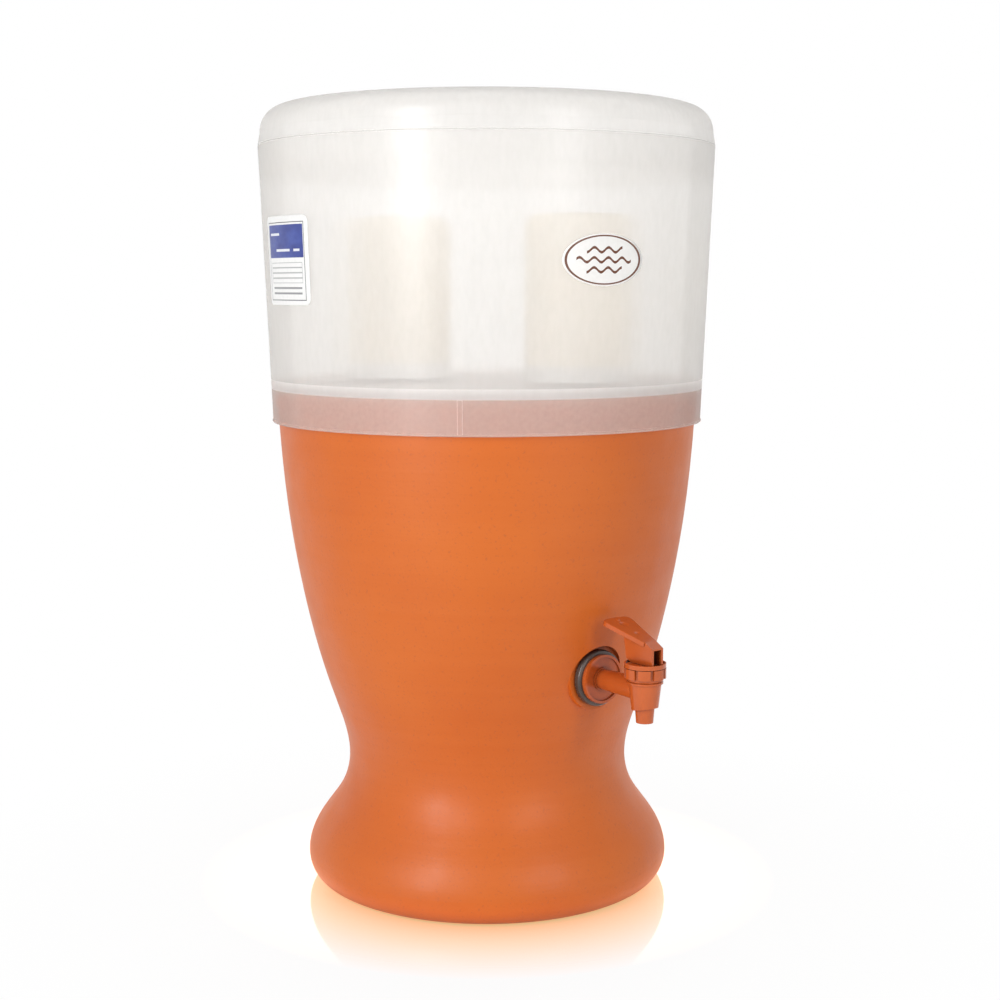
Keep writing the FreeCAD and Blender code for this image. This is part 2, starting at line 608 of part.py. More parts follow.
def dimple(radius, behind):
    """The same ball turned over, to cut a hollow."""
    hollow = low_ball(radius, DIMPLE_DEPTH, behind)
    hollow.rotate(Vec(0, 0, 0), Y_AXIS, 180)
    return hollow


def thumb_plate():
    """Flared plate, drawn level with its front edge at the origin, then tipped and placed."""
    length = (LEVER_BACK + LEVER_BROW) / math.cos(LEVER_SLOPE)
    front, back = PLATE_FRONT_WIDTH / 2, PLATE_BACK_WIDTH / 2
    near_left, near_right = Vec(-front, 0, 0), Vec(front, 0, 0)
    far_left, far_right = Vec(-back, length - PLATE_BULGE, 0), Vec(back, length - PLATE_BULGE, 0)
    sides = [Part.LineSegment(a, b) for a, b in ((far_left, near_left), (near_left, near_right),
                                                 (near_right, far_right))]
    far_edge = Part.Arc(far_right, Vec(0, length, 0), far_left)
    outline = Part.Wire([side.toShape() for side in sides + [far_edge]])
    plate = Part.Face(outline).extrude(Z_AXIS * -PLATE_THICKNESS)
    upright = [edge for edge in plate.Edges
               if edge.BoundBox.ZLength > PLATE_THICKNESS / 2 and edge.CenterOfMass.y > length / 2]
    plate = plate.makeFillet(PLATE_CORNER, upright)
    upper = [edge for edge in plate.Edges
             if edge.BoundBox.ZMin > -PLATE_THICKNESS / 2 and edge.CenterOfMass.y > front]
    plate = plate.makeFillet(PLATE_EDGE, upper)
    bump = low_ball(THUMB_BUMP_RADIUS, THUMB_BUMP_RISE, THUMB_BUMP)
    above = block((-back, 0, -PLATE_THICKNESS / 2), (back, length, THUMB_BUMP_RISE))
    plate = plate.fuse(bump.common(above))
    plate = plate.cut([dimple(THUMB_DIMPLE_RADIUS, THUMB_DIMPLE), dimple(PIN_DIMPLE_RADIUS, PIN_DIMPLE)])
    plate.rotate(Vec(0, 0, 0), X_AXIS, math.degrees(LEVER_SLOPE))
    plate.translate(lever_point(-LEVER_BROW, LEVER_BROW_HEIGHT))
    return plate


def tap_lever():
    hole = cross_rod(PIN_RADIUS, LEVER_WIDTH / 2, -VALVE_REACH, PIN_HEIGHT)
    return lever_cheeks().fuse(thumb_plate()).cut(hole).removeSplitter()


def tap_lever_pin():
    return cross_rod(PIN_RADIUS, LEVER_WIDTH / 2, -VALVE_REACH, PIN_HEIGHT)


# ---------------------------------------------------------------- reservoir and lid
def upper_reservoir():
    """Tapered tub whose skirt hangs over the pot's rim and whose floor rests on it."""
    bead_top = SKIRT_BOTTOM + 3 * SKIRT_BEAD
    outline = [(0, RIM_HEIGHT), (tub_radius(RIM_HEIGHT) - PLASTIC_WALL, RIM_HEIGHT),
               (SKIRT_RADIUS - PLASTIC_WALL, SKIRT_BOTTOM), (SKIRT_RADIUS, SKIRT_BOTTOM),
               (SKIRT_RADIUS + SKIRT_BEAD, SKIRT_BOTTOM + SKIRT_BEAD),
               (SKIRT_RADIUS + SKIRT_BEAD, SKIRT_BOTTOM + 2 * SKIRT_BEAD), (tub_radius(bead_top), bead_top),
               (MOUTH_RADIUS, MOUTH_HEIGHT), (MOUTH_RADIUS - PLASTIC_WALL, MOUTH_HEIGHT),
               (tub_radius(FLOOR_TOP) - PLASTIC_WALL, FLOOR_TOP), (0, FLOOR_TOP)]
    tub = turned(outline)
    tub = round_edges(tub, FLOOR_ROUNDING, FLOOR_TOP, tub_radius(FLOOR_TOP) - PLASTIC_WALL)
    hole = rod(CANDLE_STEM_RADIUS + CANDLE_STEM_CLEARANCE, RIM_HEIGHT, FLOOR_TOP)
    tub = tub.cut([at_candle(hole, side) for side in CANDLE_SIDES])
    return tub.fuse(skirt_ribs())


def skirt_ribs():
    """Upright ribs that stand a little proud of the skirt, from its lower edge to the clay's rim."""
    inside = SKIRT_RADIUS - PLASTIC_WALL / 2
    low = SKIRT_BOTTOM + SKIRT_BEAD
    corners = [Vec(inside, 0, low), Vec(tub_radius(low) + RIB_PROUD, 0, low),
               Vec(tub_radius(RIM_HEIGHT) + RIB_PROUD, 0, RIM_HEIGHT), Vec(inside, 0, RIM_HEIGHT)]
    side = Part.Face(Part.makePolygon(corners + corners[:1]))
    side.translate(Y_AXIS * (-RIB_WIDTH / 2))
    ribs = []
    for i in range(RIB_COUNT):
        rib = side.extrude(Y_AXIS * RIB_WIDTH)
        rib.rotate(Vec(0, 0, 0), Z_AXIS, RIB_BEARING + 360 / RIB_COUNT * i)
        ribs.append(rib)
    return ribs


def lid():
    """Domed lid whose edge sits on the mouth, with a spigot inside it."""
    top = MOUTH_HEIGHT + LID_HEIGHT
    side_top = MOUTH_HEIGHT + LID_SIDE
    edge = MOUTH_RADIUS - LID_SIDE_DRAFT
    flat = edge - LID_SHOULDER_WIDTH
    inner = edge - PLASTIC_WALL
    ceiling = top - PLASTIC_WALL
    spigot_top = MOUTH_RADIUS - PLASTIC_WALL - SPIGOT_CLEARANCE
    spigot_end = MOUTH_HEIGHT - SPIGOT_DEPTH
    spigot_low = tub_radius(spigot_end) - PLASTIC_WALL - SPIGOT_CLEARANCE
    shelf = MOUTH_HEIGHT + LID_SHELF
    edges = [
        line((spigot_low - PLASTIC_WALL, spigot_end), (spigot_low, spigot_end)),
        line((spigot_low, spigot_end), (spigot_top, MOUTH_HEIGHT)),
        line((spigot_top, MOUTH_HEIGHT), (MOUTH_RADIUS - LID_BEVEL, MOUTH_HEIGHT)),
        line((MOUTH_RADIUS - LID_BEVEL, MOUTH_HEIGHT), (MOUTH_RADIUS, MOUTH_HEIGHT + LID_BEVEL)),
        line((MOUTH_RADIUS, MOUTH_HEIGHT + LID_BEVEL), (edge, side_top)),
        bend((edge, side_top), (edge, top), (flat, top), LID_FULLNESS),
        bend((flat, top), (flat / 2, top + LID_DOME), (0, top + LID_DOME), 0.6),
        line((0, top + LID_DOME), (0, ceiling + LID_DOME)),
        bend((0, ceiling + LID_DOME), (flat / 2, ceiling + LID_DOME), (flat, ceiling), 0.6),
        bend((flat, ceiling), (inner, ceiling), (inner, side_top), LID_FULLNESS),
        line((inner, side_top), (inner, shelf)),
        line((inner, shelf), (spigot_top - PLASTIC_WALL, shelf)),
        line((spigot_top - PLASTIC_WALL, shelf), (spigot_low - PLASTIC_WALL, spigot_end)),
    ]
    return spun(edges)


# ---------------------------------------------------------------- candles
def candle_shell():
    """Hollow ceramic candle, open at the bottom, drawn about the Z axis."""
    low = CANDLE_BOTTOM + CANDLE_SEAT
    outside = round_edges(rod(CANDLE_RADIUS, low, CANDLE_TOP), CANDLE_ROUNDING,
                          CANDLE_TOP, CANDLE_RADIUS)
    bore = CANDLE_RADIUS - CANDLE_WALL
    inside = round_edges(rod(bore, low, CANDLE_TOP - CANDLE_WALL), CANDLE_ROUNDING,
                         CANDLE_TOP - CANDLE_WALL, bore)
    return outside.cut(inside)


def candle_base():
    """Plastic cup under the ceramic, with a hollow threaded stem."""
    cup = rod(CANDLE_RADIUS + CANDLE_BASE_RIM, CANDLE_BOTTOM, CANDLE_BOTTOM + CANDLE_BASE_HEIGHT)
    seat = rod(CANDLE_RADIUS, CANDLE_BOTTOM + CANDLE_SEAT, CANDLE_BOTTOM + CANDLE_BASE_HEIGHT)
    stem = rod(CANDLE_STEM_RADIUS, CANDLE_STEM_END, CANDLE_BOTTOM + CANDLE_SEAT)
    bore = rod(CANDLE_BORE_RADIUS, CANDLE_STEM_END, CANDLE_BOTTOM + CANDLE_SEAT)
    return cup.cut(seat).fuse(stem).cut(bore)


def candle_washer():
    return ring(CANDLE_WASHER_RADIUS, CANDLE_STEM_RADIUS, FLOOR_TOP, CANDLE_BOTTOM)


def nut_washer():
    return ring(CANDLE_WASHER_RADIUS, CANDLE_STEM_RADIUS, NUT_WASHER_BOTTOM, RIM_HEIGHT)


def wing_nut():
    half = WING_THICKNESS / 2
    hub = rod(WING_NUT_RADIUS, NUT_WASHER_BOTTOM - WING_NUT_HEIGHT, NUT_WASHER_BOTTOM)
    wings = block((-WING_REACH, -half, NUT_WASHER_BOTTOM - WING_DROP),
                  (WING_REACH, half, NUT_WASHER_BOTTOM - WING_DROP / 4))
    corners = [edge for edge in wings.Edges if edge.BoundBox.YLength > half]
    wings = wings.makeFillet(WING_DROP / 4, corners)
    middle = rod(WING_NUT_RADIUS, NUT_WASHER_BOTTOM - WING_DROP, NUT_WASHER_BOTTOM)
    return wings.cut(middle).fuse(hub).cut(rod(CANDLE_STEM_RADIUS, CANDLE_STEM_END, RIM_HEIGHT))


# ---------------------------------------------------------------- float valves
def float_valve_body():
    """Cap screwed on the candle's stem, with a nozzle and two ears for the arm's pin."""
    cap = rod(VALVE_RADIUS, VALVE_BOTTOM, VALVE_TOP)
    nozzle = rod(NOZZLE_RADIUS, NOZZLE_TIP, VALVE_BOTTOM)
    inside = ARM_WIDTH / 2 + EAR_GAP
    outside = inside + EAR_THICKNESS
    back = -PIVOT_SETBACK - EAR_RADIUS
    lug = block((-outside, back - ARM_TAIL / 2, VALVE_BOTTOM), (outside, 0, CANDLE_STEM_END))
    ears = cross_rod(EAR_RADIUS, outside, -PIVOT_SETBACK, PIVOT_HEIGHT)
    ears = ears.fuse(block((-outside, back, PIVOT_HEIGHT),
                           (outside, back + 2 * EAR_RADIUS, VALVE_BOTTOM)))
    gap = block((-inside, back, PIVOT_HEIGHT - EAR_RADIUS), (inside, back + 2 * EAR_RADIUS, VALVE_BOTTOM))
    solid = cap.fuse([nozzle, lug, ears.cut(gap)])
    pin_hole = cross_rod(FLOAT_PIN_RADIUS, outside, -PIVOT_SETBACK, PIVOT_HEIGHT)
    socket = rod(CANDLE_STEM_RADIUS, CANDLE_STEM_END, VALVE_TOP)
    bore = rod(NOZZLE_BORE_RADIUS, NOZZLE_TIP, CANDLE_STEM_END)
    return solid.cut([socket, bore, pin_hole]).removeSplitter()


def float_pin():
    half = ARM_WIDTH / 2 + EAR_GAP + EAR_THICKNESS
    return cross_rod(FLOAT_PIN_RADIUS, half, -PIVOT_SETBACK, PIVOT_HEIGHT)


def drooped(shape):
    """Turn a shape drawn with the arm level to where it hangs at rest."""
    shape.rotate(Vec(0, -PIVOT_SETBACK, PIVOT_HEIGHT), X_AXIS, -ARM_DROOP)
    return shape


def pad_pocket_height():
    return PIVOT_HEIGHT + ARM_THICKNESS / 2 - VALVE_PAD_RECESS


def float_arm():
    """Arm with a pocket for the rubber pad, a neck through the float and a tail that stops it."""
    half = ARM_WIDTH / 2
    thick = ARM_THICKNESS / 2
    float_axis = Vec(0, ARM_LENGTH - PIVOT_SETBACK, 0)
    low = PIVOT_HEIGHT - thick
    bar = block((-half, -PIVOT_SETBACK, low), (half, float_axis.y, low + ARM_THICKNESS))
    boss = cross_rod(ARM_BOSS_RADIUS, half, -PIVOT_SETBACK, PIVOT_HEIGHT)
    end = rod(half + FLOAT_CAP, low, low + ARM_THICKNESS, float_axis)
    neck = rod(FLOAT_NECK_RADIUS, low - FLOAT_HEIGHT, low, float_axis)
    cap = rod(FLOAT_CAP_RADIUS, low - FLOAT_HEIGHT - FLOAT_CAP, low - FLOAT_HEIGHT, float_axis)
    arm = bar.fuse([boss, end, neck, cap])
    pocket = rod(VALVE_PAD_RADIUS, pad_pocket_height(), low + ARM_THICKNESS)
    arm = drooped(arm.cut(pocket))
    tail_back = -PIVOT_SETBACK - ARM_TAIL
    tail = block((-half, tail_back, PIVOT_HEIGHT - thick),
                 (half, tail_back + ARM_THICKNESS, VALVE_BOTTOM - ARM_STOP_GAP))
    bridge = block((-half, tail_back, PIVOT_HEIGHT - thick), (half, -PIVOT_SETBACK, PIVOT_HEIGHT + thick))
    hole = cross_rod(FLOAT_PIN_RADIUS + PIN_CLEARANCE, half, -PIVOT_SETBACK, PIVOT_HEIGHT)
    return arm.fuse([tail, bridge]).cut(hole).removeSplitter()


def float_valve_pad():
    low = pad_pocket_height()
    return drooped(rod(VALVE_PAD_RADIUS, low, low + VALVE_PAD_THICKNESS))


def float_bulb():
    top = PIVOT_HEIGHT - ARM_THICKNESS / 2
    axis = Vec(0, ARM_LENGTH - PIVOT_SETBACK, 0)
    bulb = rod(FLOAT_RADIUS, top - FLOAT_HEIGHT, top)
    bulb = round_edges(bulb, FLOAT_ROUNDING, top, FLOAT_RADIUS)
    bulb = round_edges(bulb, FLOAT_ROUNDING, top - FLOAT_HEIGHT, FLOAT_RADIUS)
    bulb = bulb.cut(rod(FLOAT_NECK_RADIUS, top - FLOAT_HEIGHT, top))
    bulb.translate(axis)
    return drooped(bulb)


# ---------------------------------------------------------------- write one file per piece
def all_nodes():
    nodes = {
        "clay_pot": clay_pot(),
        "tap_body": tap_body(),
        "tap_outer_washer": tap_outer_washer(),
        "tap_inner_washer": tap_inner_washer(),
        "tap_lock_nut": tap_lock_nut(),
        "tap_bonnet": tap_bonnet(),
        "tap_bonnet_gasket": tap_bonnet_gasket(),
        "tap_stem": tap_stem(),
        "tap_seat_plug": tap_seat_plug(),
        "tap_spring": tap_spring(),
        "tap_lever": tap_lever(),
        "tap_lever_pin": tap_lever_pin(),
        "upper_reservoir": upper_reservoir(),
        "lid": lid(),
        "candle_washers": at_both_candles(candle_washer()),
        "nut_washers": at_both_candles(nut_washer()),
        "wing_nuts": at_both_candles(wing_nut()),
    }
    for side in CANDLE_SIDES:
        nodes["candle_shell_" + side] = at_candle(candle_shell(), side)
        nodes["candle_base_" + side] = at_candle(candle_base(), side)
        nodes["float_valve_" + side] = at_candle(float_valve_body(), side)
        nodes["float_pin_" + side] = at_candle(float_pin(), side)
        nodes["float_arm_" + side] = at_candle(float_arm(), side)
        nodes["float_pad_" + side] = at_candle(float_valve_pad(), side)
        nodes["float_" + side] = at_candle(float_bulb(), side)
    return nodes


os.makedirs("parts", exist_ok=True)
for name, shape in all_nodes().items():
    shape.exportStep("parts/" + name + ".step")
    box = shape.BoundBox
    print(f"{name:20s} solids {len(shape.Solids)}  valid {shape.isValid()}  volume {shape.Volume:10.1f}"
          f"  z {box.ZMin:7.2f} to {box.ZMax:7.2f}")
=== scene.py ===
"""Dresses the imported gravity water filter: its materials, its label, the studio and the camera.

Lengths are metres in the part's own frame: +Z up, the pot's axis at the origin, the tap along -Y.
"""

import json
import math

import bpy
from mathutils import Matrix, Vector

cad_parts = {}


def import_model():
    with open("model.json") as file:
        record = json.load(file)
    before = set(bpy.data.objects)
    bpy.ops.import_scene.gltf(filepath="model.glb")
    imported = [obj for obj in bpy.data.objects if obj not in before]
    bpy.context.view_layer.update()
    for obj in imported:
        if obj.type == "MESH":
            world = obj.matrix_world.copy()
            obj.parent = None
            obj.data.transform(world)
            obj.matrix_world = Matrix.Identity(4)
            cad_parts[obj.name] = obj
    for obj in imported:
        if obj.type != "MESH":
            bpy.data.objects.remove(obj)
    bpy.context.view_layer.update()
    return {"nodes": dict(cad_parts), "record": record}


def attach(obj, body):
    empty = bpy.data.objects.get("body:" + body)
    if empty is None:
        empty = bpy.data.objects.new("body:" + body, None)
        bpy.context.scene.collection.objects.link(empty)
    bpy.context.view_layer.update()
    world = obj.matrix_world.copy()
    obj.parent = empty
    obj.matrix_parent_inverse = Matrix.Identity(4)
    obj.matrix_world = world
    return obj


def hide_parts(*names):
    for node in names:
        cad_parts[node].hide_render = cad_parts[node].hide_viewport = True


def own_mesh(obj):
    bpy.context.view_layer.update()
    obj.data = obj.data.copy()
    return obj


# ---------------------------------------------------------------- camera
CAMERA_BEARING = math.radians(-38)      # round the pot from the tap's side
CAMERA_DISTANCE = 1.0186
CAMERA_HEIGHT = 0.3467
CAMERA_ASIDE = 0.0076                   # to the right, which sets the pot a little left of centre
CAMERA_TILT = math.radians(6.967)       # downwards
CAMERA_LENS = 63.22

# ---------------------------------------------------------------- reservoir's outside
SKIRT_BOTTOM = 0.2696
SKIRT_RADIUS = 0.1230
MOUTH_HEIGHT = 0.4240
MOUTH_RADIUS = 0.1295
FLOOR_BOTTOM = 0.2885
FLOOR_TOP = 0.2910
FLOOR_FILLET = 0.0030                   # milky zone where the wall thickens into the floor
EDGE_REACH = 0.0006                     # of the painted highlight along its sharp edges
SEE_THROUGH = 0.58                      # share of the thin wall that lets light straight through
SEE_THROUGH_THICK = 0.12                # the same at its floor and edges
GLOSS_SHARE = 0.020                     # of light that its smooth skin mirrors

# ---------------------------------------------------------------- label on the reservoir
LABEL_BEARING = math.radians(173.4)     # of its middle, from +X
LABEL_WIDTH = 0.0510
LABEL_LOW = 0.3362
LABEL_HIGH = 0.3838
LABEL_CORNER = 0.0040
LABEL_CORNER_ROWS = 8
LABEL_MIDDLE_ROWS = 12
PAPER_THICKNESS = 0.00012
PAPER_COLUMNS = 28

# ---------------------------------------------------------------- plain oval badge on its front
BADGE_BEARING = math.radians(-99.1)
BADGE_HEIGHT = 0.3597                   # of its middle
BADGE_WIDTH = 0.0486
BADGE_TALL = 0.0268
BADGE_ROWS = 28                         # closer together at top and bottom

# ---------------------------------------------------------------- studio
STUDIO_CENTRE = Vector((0, 0, 0.22))    # which the lamps point at
WORLD_LIGHT = 0.38                      # strength of the white surroundings where they aren't seen
FLOOR_HALF = 6.0
FLOOR_GAP = 0.0003                      # under the foot
POLISH_AND_GLOW_START = 0.092                    # radius at which the floor's mirror zone and its painted warm glow begin to fade
POLISH_AND_GLOW_END = 0.170                      # and at which they are gone
PAPER_START = 0.10                      # radius from which the floor gives its own light more and more
PAPER_END = 0.35
CARD_BEARING = math.radians(128)        # of the dark cards, from the camera to either side
CARD_DISTANCE = 0.45
CARD_HALF_WIDTH = 0.15
CARD_LOW = 0.20
CARD_HIGH = 0.55


# ---------------------------------------------------------------- material helpers
class Surface:
    """A material being made, with short names for the nodes that they all use."""

    def __init__(self, name):
        self.material = bpy.data.materials.new(name)
        self.material.use_nodes = True
        tree = self.material.node_tree
        self.nodes = tree.nodes
        self.links = tree.links
        self.shader = tree.nodes["Principled BSDF"]
        self.output = tree.nodes["Material Output"]
        self.place = self.new("ShaderNodeTexCoord").outputs["Object"]

    def new(self, kind, **settings):
        node = self.nodes.new(kind)
        for key, value in settings.items():
            setattr(node, key, value)
        return node

    def set(self, socket, value):
        """Give a socket a plain value, or link another socket to it."""
        if isinstance(value, bpy.types.NodeSocket):
            self.links.new(value, socket)
        else:
            socket.default_value = value

    def split(self, vector):
        node = self.new("ShaderNodeSeparateXYZ")
        self.set(node.inputs[0], vector)
        return node.outputs

    def sheet_place(self):
        """How far across and up a printed sheet, each from 0 to 1."""
        place = self.split(self.new("ShaderNodeTexCoord").outputs["UV"])
        return place["X"], place["Y"]

    def height(self):
        return self.split(self.place)["Z"]

    def stretched(self, x, y, z):
        """The place with its axes scaled, which draws a noise out along the smaller ones."""
        node = self.new("ShaderNodeMapping")
        node.inputs["Scale"].default_value = (x, y, z)
        self.set(node.inputs["Vector"], self.place)
        return node.outputs["Vector"]

    def noise(self, scale, detail=2.0, place=None):
        node = self.new("ShaderNodeTexNoise")
        node.inputs["Scale"].default_value = scale
        node.inputs["Detail"].default_value = detail
        self.set(node.inputs["Vector"], place or self.place)
        return node.outputs["Fac"]

    def openness(self, reach):
        """0 deep in a corner or a hollow, 1 where nothing is within reach; the materials darken their
        colour by it as painted shade.
        """
        node = self.new("ShaderNodeAmbientOcclusion", samples=8)
        node.inputs["Distance"].default_value = reach
        return node.outputs["AO"]

    def edges(self, reach):
        """1 along sharp edges and in sharp grooves, 0 where the surface turns gently."""
        bevel = self.new("ShaderNodeBevel", samples=4)
        bevel.inputs["Radius"].default_value = reach
        dot = self.new("ShaderNodeVectorMath", operation="DOT_PRODUCT")
        self.set(dot.inputs[0], bevel.outputs["Normal"])
        self.set(dot.inputs[1], self.new("ShaderNodeNewGeometry").outputs["Normal"])
        return self.spread(dot.outputs["Value"], 1, 0, 0.80, 0.99)

    def spread(self, value, low, high, start=0.3, end=0.7):
        """A value's span from start to end, stretched to low to high."""
        node = self.new("ShaderNodeMapRange")
        self.set(node.inputs["Value"], value)
        node.inputs["From Min"].default_value = start
        node.inputs["From Max"].default_value = end
        node.inputs["To Min"].default_value = low
        node.inputs["To Max"].default_value = high
        return node.outputs["Result"]

    def maths(self, operation, first, second=0.0):
        node = self.new("ShaderNodeMath", operation=operation)
        self.set(node.inputs[0], first)
        self.set(node.inputs[1], second)
        return node.outputs[0]

    def between(self, value, low, high):
        """1 where a value lies between two bounds, and 0 elsewhere."""
        above = self.maths("GREATER_THAN", value, low)
        below = self.maths("LESS_THAN", value, high)
        return self.maths("MULTIPLY", above, below)

    def mixed(self, amount, first, second):
        """One colour turning into another; each is a socket or red, green and blue."""
        node = self.new("ShaderNodeMix", data_type="RGBA")
        self.set(node.inputs[0], amount)
        for socket, value in ((node.inputs[6], first), (node.inputs[7], second)):
            self.set(socket, value if isinstance(value, bpy.types.NodeSocket) else (*value, 1))
        return node.outputs[2]

    def colour(self, value):
        self.set(self.shader.inputs["Base Color"], value)

    def roughness(self, value):
        self.set(self.shader.inputs["Roughness"], value)

    def relief(self, *layers):
        """Bumps on the surface, each given as its height pattern and its depth in metres."""
        normal = None
        for height, depth in layers:
            node = self.new("ShaderNodeBump")
            node.inputs["Distance"].default_value = depth
            self.set(node.inputs["Height"], height)
            if normal:
                self.set(node.inputs["Normal"], normal)
            normal = node.outputs["Normal"]
        self.set(self.shader.inputs["Normal"], normal)
        return normal

    def blended(self, amount, first, second):
        """One shader turning into another."""
        node = self.new("ShaderNodeMixShader")
        self.set(node.inputs[0], amount)
        self.set(node.inputs[1], first)
        self.set(node.inputs[2], second)
        return node.outputs[0]


# ---------------------------------------------------------------- materials
def clay():
    """Fine wheel-thrown terracotta with faint rings, cloudy firing and small dark grains, and painted
    shade that darkens its hollows and corners.
    """
    s = Surface("clay")
    clouds = s.spread(s.noise(9, 3), 0, 1)
    rings = s.spread(s.noise(3, 4, s.stretched(1, 1, 60)), 0, 1)
    base = s.mixed(clouds, (0.60, 0.112, 0.002), (0.66, 0.138, 0.004))
    base = s.mixed(s.maths("MULTIPLY", rings, 0.10), base, (0.75, 0.19, 0.030))
    grains = s.spread(s.noise(700, 2), 0, 0.40, 0.60, 0.74)
    base = s.mixed(grains, base, (0.42, 0.085, 0.022))
    # painted shade: the colour turns dark brown in hollows and corners, such as round the tap
    s.colour(s.mixed(s.spread(s.openness(0.012), 0, 1, 0.1, 0.8), (0.46, 0.090, 0.012), base))
    s.roughness(s.spread(s.noise(60, 3), 0.42, 0.50))
    s.relief((rings, 0.00008), (s.noise(600, 3), 0.00008))
    s.shader.inputs["Specular IOR Level"].default_value = 0.55
    return s.material


def clay_plastic():
    """Terracotta-coloured moulding with a satin skin, and painted shade that darkens it in hollows and
    corners.
    """
    s = Surface("clay_plastic")
    flow = s.spread(s.noise(45, 3), 0, 1)
    base = s.mixed(flow, (0.52, 0.098, 0.016), (0.60, 0.120, 0.021))
    # painted shade: the colour turns nearly black in hollows and corners, such as inside the lever
    s.colour(s.mixed(s.spread(s.openness(0.007), 0, 1, 0.2, 0.8), (0.07, 0.012, 0.004), base))
    s.roughness(s.spread(s.noise(260, 2), 0.15, 0.22))
    s.relief((s.noise(1600, 2), 0.000012), (flow, 0.00005))
    return s.material


def frosted_plastic():
    """Milky polypropylene: it scatters most light and lets some straight through.

    Fine flecks are drawn out upwards in it. The thick rim of its floor is milkier. The skirt under it
    has a grain, and its colour there is painted greyer and warmer as shade. Its sharp edges carry a
    painted highlight: they are lighter and let less light straight through.
    """
    s = Surface("frosted_plastic")
    streaks = s.spread(s.noise(5, 3, s.stretched(1, 1, 0.25)), 0, 1)
    skirt = s.between(s.height(), 0, FLOOR_BOTTOM)
    grain = s.spread(s.noise(420, 3), 0, 1)
    milk = s.mixed(streaks, (0.970, 0.955, 0.937), (0.985, 0.975, 0.963))
    flecks = s.spread(s.noise(330, 3, s.stretched(1, 1, 0.35)), 0, 0.42, 0.35, 0.75)
    milk = s.mixed(flecks, milk, (0.87, 0.855, 0.835))
    # painted shade: the skirt in front of the clay is greyer and warmer, under its grain
    shaded_frost = s.mixed(grain, (0.89, 0.83, 0.78), (0.97, 0.91, 0.86))
    milk = s.mixed(skirt, milk, shaded_frost)
    # painted highlight: sharp edges and grooves are lighter
    milk = s.mixed(s.edges(EDGE_REACH), milk, (0.99, 0.985, 0.97))
    s.colour(milk)
    satin = s.spread(s.noise(500, 2), 0.29, 0.33)
    s.roughness(satin)
    normal = s.relief((s.noise(1400, 2), 0.000003), (s.maths("MULTIPLY", skirt, grain), 0.00006))
    glow = s.new("ShaderNodeBsdfTranslucent")
    s.set(glow.inputs["Color"], milk)
    skin = s.blended(0.5, s.shader.outputs[0], glow.outputs[0])
    haze = s.new("ShaderNodeBsdfRefraction")
    haze.inputs["Roughness"].default_value = 0.13
    haze.inputs["IOR"].default_value = 1.1
    clear = s.new("ShaderNodeBsdfTransparent")
    seen = s.blended(0.5, haze.outputs[0], clear.outputs[0])
    thick = s.between(s.height(), FLOOR_BOTTOM, FLOOR_TOP + FLOOR_FILLET)
    # the thick floor rim, and the sharp edges as part of their painted highlight, let less light straight
    # through
    solid = s.maths("MAXIMUM", thick, s.edges(EDGE_REACH))
    body = s.blended(s.spread(solid, SEE_THROUGH, SEE_THROUGH_THICK, 0, 1), skin, seen)
    gloss = s.new("ShaderNodeBsdfGlossy")
    s.set(gloss.inputs["Roughness"], satin)
    s.set(gloss.inputs["Normal"], normal)
    s.set(s.output.inputs["Surface"], s.blended(GLOSS_SHARE, body, gloss.outputs[0]))
    return s.material


def plain_moulding(name, flow_scale, colours, satin_scale, satin, grain_scale):
    """Colour and roughness that drift between two values each, under a fine grain."""
    s = Surface(name)
    flow = s.spread(s.noise(flow_scale, 3), 0, 1)
    s.colour(s.mixed(flow, *colours))
    s.roughness(s.spread(s.noise(satin_scale, 2), *satin))
    s.relief((s.noise(grain_scale, 2), 0.00001))
    return s.material


def white_plastic():
    """Off-white moulding."""
    colours = (0.80, 0.795, 0.78), (0.87, 0.865, 0.85)
    return plain_moulding("white_plastic", 40, colours, 300, (0.32, 0.44), 1500)


def dark_plastic():
    """Black acetal moulding of the valve's stem."""
    colours = (0.012, 0.011, 0.010), (0.028, 0.025, 0.023)
    return plain_moulding("dark_plastic", 90, colours, 400, (0.40, 0.52), 1500)


def candle_ceramic():
    """Porous cast ceramic, slightly chalky."""
    s = Surface("candle_ceramic")
    patches = s.spread(s.noise(30, 4), 0, 1)
    base = s.mixed(patches, (0.97, 0.86, 0.69), (0.985, 0.90, 0.76))
    s.colour(s.mixed(s.spread(s.noise(1100, 2), 0, 0.4, 0.6, 0.75), base, (0.78, 0.68, 0.54)))
    s.roughness(s.spread(s.noise(200, 3), 0.82, 0.95))
    s.relief((s.noise(900, 3), 0.00005), (patches, 0.00015))
    return s.material


def rubber():
    """Dark moulded rubber with a dusty bloom."""
    s = Surface("rubber")
    bloom = s.spread(s.noise(120, 4), 0, 1)
    s.colour(s.mixed(bloom, (0.050, 0.035, 0.028), (0.095, 0.070, 0.060)))
    s.roughness(s.spread(s.noise(300, 2), 0.20, 0.30))
    s.relief((s.noise(1300, 3), 0.00002))
    return s.material


def silicone():
    """White moulded silicone, slightly yellowed."""
    colours = (0.78, 0.765, 0.73), (0.86, 0.85, 0.82)
    return plain_moulding("silicone", 70, colours, 350, (0.40, 0.52), 1200)


def steel():
    """Drawn stainless wire."""
    s = Surface("steel")
    drawn = s.spread(s.noise(80, 3, s.stretched(1, 1, 30)), 0, 1)
    s.colour(s.mixed(drawn, (0.52, 0.52, 0.53), (0.66, 0.66, 0.65)))
    s.shader.inputs["Metallic"].default_value = 1.0
    s.roughness(s.spread(drawn, 0.22, 0.36, 0, 1))
    s.relief((drawn, 0.00001))
    return s.material


def float_foam():
    """Hollow moulded float, with a slightly grained skin."""
    s = Surface("float_foam")
    flow = s.spread(s.noise(60, 3), 0, 1)
    s.colour(s.mixed(flow, (0.76, 0.765, 0.76), (0.84, 0.84, 0.83)))
    s.roughness(s.spread(s.noise(350, 2), 0.45, 0.58))
    s.relief((s.noise(1100, 3), 0.00003))
    return s.material


